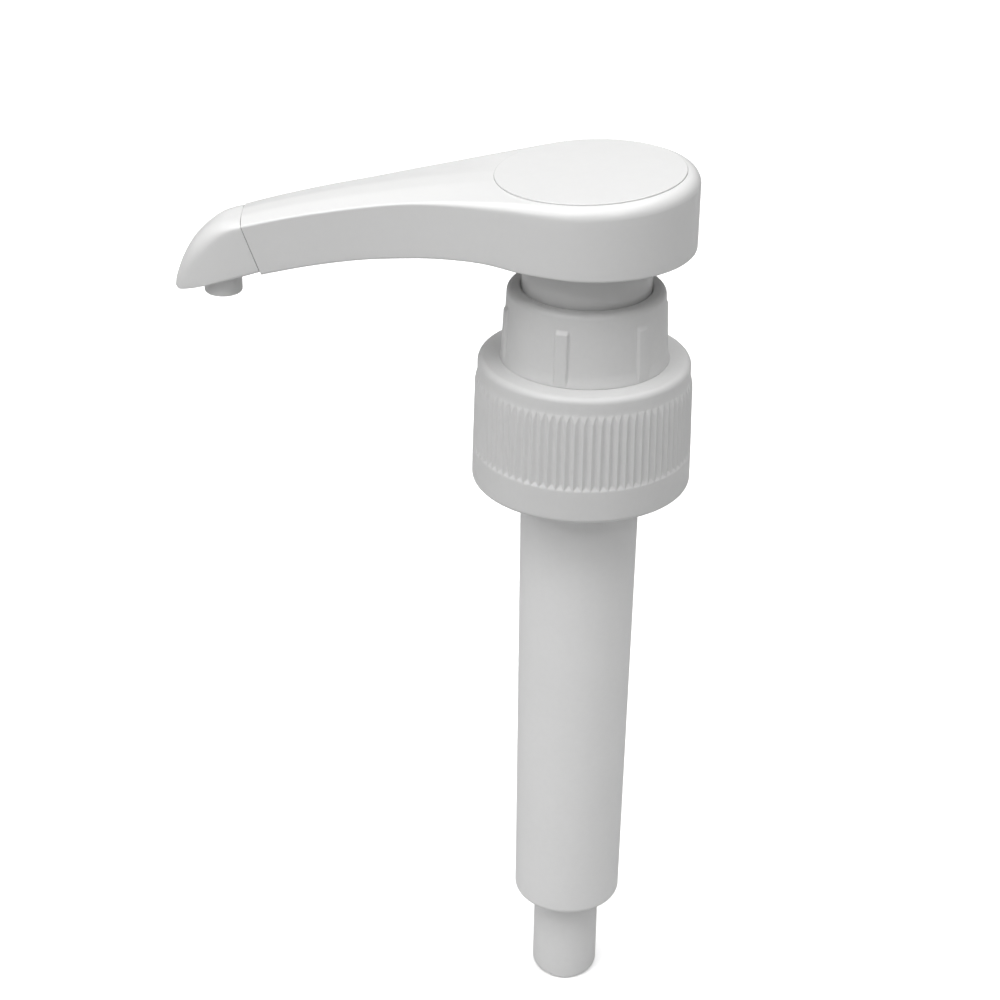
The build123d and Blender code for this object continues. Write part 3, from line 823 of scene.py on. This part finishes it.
FLOAT, COLOUR = "NodeSocketFloat", "NodeSocketColor"

# %% [markdown]
# **Cloudy resin.** Two sizes of noise are mixed: broad patches as wide as a thumb, and a finer
# mottling. The group mixes a light and a shaded tone of the same plastic.

# %% cloudy resin
cloudy, into, out = node_group(
    "cloudy resin",
    [("Light", COLOUR, (0.7, 0.7, 0.7, 1)), ("Shaded", COLOUR, (0.6, 0.6, 0.6, 1)),
     ("Patch Scale", FLOAT, 40.0), ("Mottle Scale", FLOAT, 900.0)],
    [("Colour", COLOUR)],
)
where = node(cloudy, "ShaderNodeTexCoord").outputs["Object"]
patches = node(
    cloudy, "ShaderNodeTexNoise",
    [("Vector", where), ("Scale", into.outputs["Patch Scale"]), ("Detail", 3.0), ("Roughness", 0.55)],
)
mottle = node(
    cloudy, "ShaderNodeTexNoise",
    [("Vector", where), ("Scale", into.outputs["Mottle Scale"]), ("Detail", 2.0), ("Roughness", 0.6)],
)
both = node(
    cloudy, "ShaderNodeMix",
    [("Factor", 0.4), ("A", patches.outputs["Fac"]), ("B", mottle.outputs["Fac"])], data_type="FLOAT",
)
spread = node(
    cloudy, "ShaderNodeMapRange",
    [("Value", both.outputs["Result"]), ("From Min", 0.36), ("From Max", 0.62)],
)
blend_tones = cloudy.nodes.new("ShaderNodeMix")
blend_tones.data_type = "RGBA"
cloudy.links.new(spread.outputs["Result"], blend_tones.inputs[0])
cloudy.links.new(into.outputs["Shaded"], blend_tones.inputs[6])
cloudy.links.new(into.outputs["Light"], blend_tones.inputs[7])
cloudy.links.new(blend_tones.outputs[2], out.inputs["Colour"])

# %% [markdown]
# **Moulded skin.** The steel of the mould leaves a faint orange peel and, on satin parts, a fine
# spark-eroded grain. The group gives a height for the bump and a value that makes the roughness uneven.

# %% moulded skin
skin_group, into, out = node_group(
    "moulded skin",
    [("Grain Scale", FLOAT, 4000.0), ("Peel Scale", FLOAT, 300.0), ("Grain", FLOAT, 0.5)],
    [("Height", FLOAT), ("Unevenness", FLOAT)],
)
where = node(skin_group, "ShaderNodeTexCoord").outputs["Object"]
grain = node(
    skin_group, "ShaderNodeTexNoise",
    [("Vector", where), ("Scale", into.outputs["Grain Scale"]), ("Detail", 4.0), ("Roughness", 0.7)],
)
peel = node(
    skin_group, "ShaderNodeTexNoise",
    [("Vector", where), ("Scale", into.outputs["Peel Scale"]), ("Detail", 1.0)],
)
height = node(
    skin_group, "ShaderNodeMix",
    [("Factor", into.outputs["Grain"]), ("A", peel.outputs["Fac"]), ("B", grain.outputs["Fac"])],
    data_type="FLOAT",
)
skin_group.links.new(height.outputs["Result"], out.inputs["Height"])
uneven = node(
    skin_group, "ShaderNodeMapRange",
    [("Value", peel.outputs["Fac"]), ("From Min", 0.3), ("From Max", 0.7)],
)
skin_group.links.new(uneven.outputs["Result"], out.inputs["Unevenness"])

# %% [markdown]
# **Handled edges.** Corners that are rubbed every day go smoother and a shade lighter. Cycles knows how
# convex each point of a dense mesh is, and the group turns that into a mask broken up by noise.

# %% handled edges
edges, into, out = node_group(
    "handled edges", [("From", FLOAT, 0.52), ("To", FLOAT, 0.6)], [("Mask", FLOAT)],
)
geometry = node(edges, "ShaderNodeNewGeometry")
patchy = node(
    edges, "ShaderNodeTexNoise",
    [("Vector", node(edges, "ShaderNodeTexCoord").outputs["Object"]), ("Scale", 700.0), ("Detail", 3.0)],
)
convex = node(edges, "ShaderNodeMapRange", [
    ("Value", geometry.outputs["Pointiness"]), ("From Min", into.outputs["From"]),
    ("From Max", into.outputs["To"])])
worn = node(
    edges, "ShaderNodeMath", [(0, convex.outputs["Result"]), (1, patchy.outputs["Fac"])],
    operation="MULTIPLY",
)
edges.links.new(worn.outputs[0], out.inputs["Mask"])

# %% [markdown]
# **Fine scuffs.** A used pump has hairline scuffs where it was wiped. Noise that is squeezed in one
# direction and cut to its thin crests gives long faint marks, and a second noise keeps them in patches.

# %% fine scuffs
scuffs, into, out = node_group(
    "fine scuffs", [("Scale", FLOAT, 60.0), ("Amount", FLOAT, 0.5)], [("Mask", FLOAT)],
)
where = node(scuffs, "ShaderNodeTexCoord").outputs["Object"]
squeezed = node(
    scuffs, "ShaderNodeMapping",
    [("Vector", where), ("Scale", (1.0, 1.0, 26.0)), ("Rotation", (0.5, 0.35, 0.2))],
)
streaks = node(
    scuffs, "ShaderNodeTexNoise",
    [
        ("Vector", squeezed.outputs["Vector"]), ("Scale", into.outputs["Scale"]), ("Detail", 5.0),
        ("Roughness", 0.75),
    ],
)
crests = node(
    scuffs, "ShaderNodeMapRange",
    [("Value", streaks.outputs["Fac"]), ("From Min", 0.5), ("From Max", 0.85)],
)
where_wiped = node(scuffs, "ShaderNodeTexNoise", [("Vector", where), ("Scale", 90.0), ("Detail", 1.0)])
wiped = node(
    scuffs, "ShaderNodeMath", [(0, crests.outputs["Result"]), (1, where_wiped.outputs["Fac"])],
    operation="MULTIPLY",
)
faded = node(
    scuffs, "ShaderNodeMath", [(0, wiped.outputs[0]), (1, into.outputs["Amount"])], operation="MULTIPLY",
)
scuffs.links.new(faded.outputs[0], out.inputs["Mask"])

# %% [markdown]
# **Settled dust.** Dust lies on what faces up, so the mask is the upward part of the normal times a
# speckled noise.

# %% settled dust
dust, into, out = node_group(
    "settled dust", [("Amount", FLOAT, 0.1), ("Speckle Scale", FLOAT, 2500.0)], [("Mask", FLOAT)],
)
normal_z = node(
    dust, "ShaderNodeSeparateXYZ", [("Vector", node(dust, "ShaderNodeNewGeometry").outputs["Normal"])],
)
facing_up = node(
    dust, "ShaderNodeMapRange", [("Value", normal_z.outputs["Z"]), ("From Min", 0.5), ("From Max", 1.0)],
)
speckle = node(dust, "ShaderNodeTexNoise", [
    ("Vector", node(dust, "ShaderNodeTexCoord").outputs["Object"]),
    ("Scale", into.outputs["Speckle Scale"]), ("Detail", 3.0), ("Roughness", 0.8)])
specks = node(
    dust, "ShaderNodeMapRange",
    [("Value", speckle.outputs["Fac"]), ("From Min", 0.45), ("From Max", 0.75)],
)
lying = node(
    dust, "ShaderNodeMath", [(0, facing_up.outputs["Result"]), (1, specks.outputs["Result"])],
    operation="MULTIPLY",
)
thin = node(
    dust, "ShaderNodeMath", [(0, lying.outputs[0]), (1, into.outputs["Amount"])], operation="MULTIPLY",
)
dust.links.new(thin.outputs[0], out.inputs["Mask"])
print("effect groups:", [g.name for g in (cloudy, skin_group, edges, scuffs, dust)])

# %% [markdown]
# ## Putting a plastic together
# All the moulded finishes share one recipe: cloudy resin, lightened a little at handled edges and greyed by
# dust, feeds the colour; a base roughness plus unevenness and scuffs feeds the roughness; and the skin's
# height feeds a bump.


# %% recipe for a moulded plastic
def use(tree, group, **values):
    made = tree.nodes.new("ShaderNodeGroup")
    made.node_tree = group
    for key, value in values.items():
        made.inputs[key.replace("_", " ")].default_value = value
    return made


def mixed(tree, factor, a, b):
    """A colour mix; a and b are sockets or colours."""
    made = tree.nodes.new("ShaderNodeMix")
    made.data_type = "RGBA"
    for index, value in ((0, factor), (6, a), (7, b)):
        if hasattr(value, "links"):
            tree.links.new(value, made.inputs[index])
        else:
            made.inputs[index].default_value = value
    return made.outputs[2]


def scaled(tree, value, factor, add=0.0):
    return node(
        tree, "ShaderNodeMath", [(0, value), (1, factor), (2, add)], operation="MULTIPLY_ADD",
    ).outputs[0]


def moulded(name, tone, shade, gloss, grain_mix, bump, dusting=0.06, scuffing=0.5, ior=1.49):
    """A moulded plastic of this tone. gloss is its base roughness, and bump its depth in metres."""
    material = bpy.data.materials.new(name)
    material.use_nodes = True
    tree = material.node_tree
    shader = tree.nodes["Principled BSDF"]
    resin = use(tree, cloudy, Light=(*tone, 1), Shaded=(*shade, 1), Patch_Scale=38.0, Mottle_Scale=850.0)
    rubbed = use(tree, edges, From=0.56, To=0.75)
    lying_dust = use(tree, dust, Amount=dusting)
    marks = use(tree, scuffs, Scale=160.0, Amount=scuffing)
    skin_height = use(tree, skin_group, Grain_Scale=5200.0, Peel_Scale=260.0, Grain=grain_mix)
    light_edge = mixed(
        tree, scaled(tree, rubbed.outputs["Mask"], 0.12), resin.outputs["Colour"], (0.86, 0.86, 0.855, 1),
    )
    dusty = mixed(tree, lying_dust.outputs["Mask"], light_edge, (0.5, 0.49, 0.47, 1))
    tree.links.new(dusty, shader.inputs["Base Color"])
    rough = scaled(tree, skin_height.outputs["Unevenness"], 0.06, gloss)
    rough = node(
        tree, "ShaderNodeMath", [(0, marks.outputs["Mask"]), (1, 0.12), (2, rough)],
        operation="MULTIPLY_ADD",
    ).outputs[0]
    rough = node(
        tree, "ShaderNodeMath", [(0, rubbed.outputs["Mask"]), (1, -0.05), (2, rough)],
        operation="MULTIPLY_ADD",
    ).outputs[0]
    tree.links.new(rough, shader.inputs["Roughness"])
    relief = node(
        tree, "ShaderNodeBump",
        [("Height", skin_height.outputs["Height"]), ("Strength", 1.0), ("Distance", bump)],
    )
    tree.links.new(relief.outputs["Normal"], shader.inputs["Normal"])
    shader.inputs["IOR"].default_value = ior
    print("finish", name, "roughness", gloss)
    return material


# %% the pump's plastics
gloss_white = moulded(
    "gloss_white_pp", (0.70, 0.70, 0.697), (0.688, 0.688, 0.685), 0.19, 0.15, 8e-6, dusting=0.03,
    scuffing=0.15,
)
satin_white = moulded(
    "satin_white_pp", (0.68, 0.68, 0.677), (0.66, 0.66, 0.657), 0.33, 0.6, 2e-5, dusting=0.04,
    scuffing=0.4,
)
milky_natural = moulded(
    "milky_natural_pp", (0.86, 0.86, 0.857), (0.84, 0.84, 0.837), 0.38, 0.6, 2.5e-5, scuffing=0.6,
)
stem_plastic = moulded("stem_pp", (0.70, 0.70, 0.69), (0.67, 0.67, 0.66), 0.29, 0.3, 1e-5, scuffing=0.9)
soft_seal = moulded("soft_seal_pe", (0.64, 0.65, 0.64), (0.58, 0.59, 0.58), 0.45, 0.4, 3e-5, ior=1.51)

# %% [markdown]
# ## Foam and steel
# The gasket is closed-cell foam, so its surface is a skin of tiny cells: a Voronoi pattern lifts each cell
# and paints shade on the sunk walls between them, as a darker colour in the pits. The spring is drawn wire,
# bright but with fine lines along it, and the check balls are polished and only faintly hazed.

# %% foam
foam = bpy.data.materials.new("closed_cell_foam")
foam.use_nodes = True
tree = foam.node_tree
shader = tree.nodes["Principled BSDF"]
where = node(tree, "ShaderNodeTexCoord").outputs["Object"]
cells = node(tree, "ShaderNodeTexVoronoi", [("Vector", where), ("Scale", 2600.0)])
resin = use(tree, cloudy, Light=(0.74, 0.74, 0.72, 1), Shaded=(0.66, 0.66, 0.64, 1), Patch_Scale=120.0)
# Mask of the sunk walls between the cells; it darkens them with painted shade and also roughens them.
wall_shade_mask = node(
    tree, "ShaderNodeMapRange",
    [("Value", cells.outputs["Distance"]), ("From Min", 0.25), ("From Max", 0.75)],
)
# The colour is mixed toward dark grey on the sunk cell walls: painted shade in the pits.
tree.links.new(
    mixed(
        tree, scaled(tree, wall_shade_mask.outputs["Result"], 0.35), resin.outputs["Colour"],
        (0.5, 0.5, 0.48, 1),
    ), shader.inputs["Base Color"],
)
tree.links.new(scaled(tree, wall_shade_mask.outputs["Result"], 0.15, 0.72), shader.inputs["Roughness"])
relief = node(
    tree, "ShaderNodeBump", [("Height", cells.outputs["Distance"]), ("Strength", 0.8), ("Distance", 8e-5)],
)
relief.invert = True
tree.links.new(relief.outputs["Normal"], shader.inputs["Normal"])


# %% steel for the spring and the balls
def steel(name, tone, rough, line_scale, depth):
    material = bpy.data.materials.new(name)
    material.use_nodes = True
    tree = material.node_tree
    shader = tree.nodes["Principled BSDF"]
    where = node(tree, "ShaderNodeTexCoord").outputs["Object"]
    drawn = node(tree, "ShaderNodeMapping", [("Vector", where), ("Scale", (1.0, 1.0, 9.0))])
    lines = node(
        tree, "ShaderNodeTexNoise",
        [("Vector", drawn.outputs["Vector"]), ("Scale", line_scale), ("Detail", 4.0), ("Roughness", 0.7)],
    )
    tarnish = use(
        tree, cloudy, Light=(*tone, 1), Shaded=tuple(c * 0.82 for c in tone) + (1,), Patch_Scale=160.0,
        Mottle_Scale=1500.0,
    )
    marks = use(tree, scuffs, Scale=140.0, Amount=0.8)
    tree.links.new(tarnish.outputs["Colour"], shader.inputs["Base Color"])
    hazy = scaled(tree, lines.outputs["Fac"], 0.12, rough)
    hazy = node(
        tree, "ShaderNodeMath", [(0, marks.outputs["Mask"]), (1, 0.1), (2, hazy)],
        operation="MULTIPLY_ADD",
    ).outputs[0]
    tree.links.new(hazy, shader.inputs["Roughness"])
    relief = node(
        tree, "ShaderNodeBump", [("Height", lines.outputs["Fac"]), ("Strength", 0.6), ("Distance", depth)],
    )
    tree.links.new(relief.outputs["Normal"], shader.inputs["Normal"])
    shader.inputs["Metallic"].default_value = 1.0
    return material


spring_wire = steel("drawn_spring_steel", (0.56, 0.57, 0.58), 0.25, 900.0, 1.5e-5)
ball_polish = steel("polished_ball_steel", (0.62, 0.63, 0.64), 0.08, 400.0, 3e-6)

# %% [markdown]
# ## Dressing every part
# New meshes take their finish by assignment. The inner parts whose CAD shape is already right keep that
# mesh and only get a finish, chosen from the material slot that the CAD record gives them.

# %% assign the finishes
finishes = {
    "white_gloss": gloss_white, "white_satin": satin_white, "natural_pp": milky_natural,
    "stem_white": stem_plastic,
    "seal_pe": soft_seal, "gasket_foam": foam, "spring_steel": spring_wire, "ball_steel": ball_polish,
}
new_pieces = {
    saddle_head: "white_gloss", cover_disc: "white_gloss", beak_tip: "white_gloss",
    neck_collar: "white_satin",
    screw_closure: "white_satin", barrel: "natural_pp", intake_tube: "natural_pp", gasket: "gasket_foam",
    wiper: "seal_pe", cup_seal: "seal_pe", coil_spring: "spring_steel",
}
for obj, slot in new_pieces.items():
    obj.data.materials.clear()
    obj.data.materials.append(finishes[slot])
kept = {
    "piston_stem": "stem_white", "outlet_valve_seat": "natural_pp", "piston_core": "natural_pp",
    "ball_cage": "natural_pp",
    "stem_guide": "natural_pp", "outlet_ball": "ball_steel", "inlet_ball": "ball_steel",
}
for name, slot in kept.items():
    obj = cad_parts[name]
    for index in range(max(1, len(obj.material_slots))):
        if not obj.material_slots:
            obj.data.materials.append(finishes[slot])
        obj.material_slots[index].material = finishes[slot]
print("dressed", len(new_pieces), "new pieces and", len(kept), "kept CAD parts")

# %% [markdown]
# ## Floor, sky and lights
# The pump stands on a wide pale table whose edge curves up all round, so that seen from low down it
# fades into a soft backdrop and has no hard horizon. To the camera the table is bright paper with a
# faint glow, and to all other rays it is a grey that bounces less light. The light is a plain product
# set: one big soft source overhead, a broad one high on the left, a weak one high on the right, and two
# small ones in front that put the pairs of short highlights on the head's shoulder and the collar's
# lip. The white sky is brightest overhead.

# %% floor
floor_z = cad_box[0].z * 1000
FLOOR_SIDES = 96
bowl = [
    (0.02, floor_z), (600, floor_z), (1800, floor_z), (2400, floor_z + 60), (2900, floor_z + 300),
    (3200, floor_z + 800), (3250, floor_z + 1500),
]
bowl_loops = [
    [(r * cos(2 * pi * k / FLOOR_SIDES), r * sin(2 * pi * k / FLOOR_SIDES), z) for k in range(FLOOR_SIDES)]
    for r, z in softened([(r, z, 250) for r, z in bowl], 6, False)
]
table_top = piece("table_top", [loft(bowl_loops)], 80)
table_top.modifiers.clear()
pale = bpy.data.materials.new("pale_table")
pale.use_nodes = True
tree = pale.node_tree
shader = tree.nodes["Principled BSDF"]
paper = use(
    tree, cloudy, Light=(0.93, 0.93, 0.93, 1), Shaded=(0.92, 0.92, 0.92, 1), Patch_Scale=3.0,
    Mottle_Scale=60.0,
)
seen = node(tree, "ShaderNodeLightPath").outputs["Is Camera Ray"]
tree.links.new(
    mixed(tree, seen, (0.45, 0.45, 0.45, 1), paper.outputs["Colour"]), shader.inputs["Base Color"],
)
tree.links.new(mixed(tree, seen, (0, 0, 0, 1), (0.3, 0.3, 0.3, 1)), shader.inputs["Emission Color"])
shader.inputs["Emission Strength"].default_value = 1.0
shader.inputs["Roughness"].default_value = 0.9
table_top.data.materials.append(pale)

# %% soft studio light
target = Vector((-0.02, 0, -0.02))


def softbox(name, azimuth, elevation, distance, width, height, watts):
    """A rectangular soft light; azimuth 0 is the viewer's side and 90 is the right."""
    a, e = radians(azimuth), radians(elevation)
    light = bpy.data.lights.new(name, "AREA")
    light.shape, light.size, light.size_y, light.energy = "RECTANGLE", width, height, watts
    obj = bpy.data.objects.new(name, light)
    obj.location = target + distance * Vector((sin(a) * cos(e), -cos(a) * cos(e), sin(e)))
    obj.rotation_mode = "QUATERNION"
    obj.rotation_quaternion = (target - obj.location).to_track_quat("-Z", "Y")
    bpy.context.scene.collection.objects.link(obj)
    return obj


softbox("overhead", 0, 85, 1.3, 1.7, 1.7, 19.5)
softbox("high left", -53, 48, 1.2, 1.0, 0.9, 4.3)
softbox("high right", 70, 40, 1.3, 0.9, 0.8, 0.25)
softbox("front left", -52, 34, 1.0, 0.1, 0.13, 0.48)
softbox("front right", 24, 40, 1.0, 0.1, 0.13, 0.36)

world = bpy.data.worlds.new("pale room")
world.use_nodes = True
tree = world.node_tree
sky = node(
    tree, "ShaderNodeSeparateXYZ", [("Vector", node(tree, "ShaderNodeTexCoord").outputs["Generated"])],
)
glow = node(tree, "ShaderNodeMapRange", [("Value", sky.outputs["Z"]), ("To Min", 0.08), ("To Max", 0.6)])
tree.nodes["Background"].inputs["Color"].default_value = (1, 1, 1, 1)
tree.links.new(glow.outputs["Result"], tree.nodes["Background"].inputs["Strength"])
bpy.context.scene.world = world
bpy.context.scene.view_settings.view_transform = "Standard"

# %% [markdown]
# ## The size of the CAD model
# Dressing must not make the pump bigger than its CAD model, so the CAD model's box is printed.

# %% print the CAD box
print("box of the CAD model:", [round(x, 4) for x in cad_box[0]], [round(x, 4) for x in cad_box[1]])
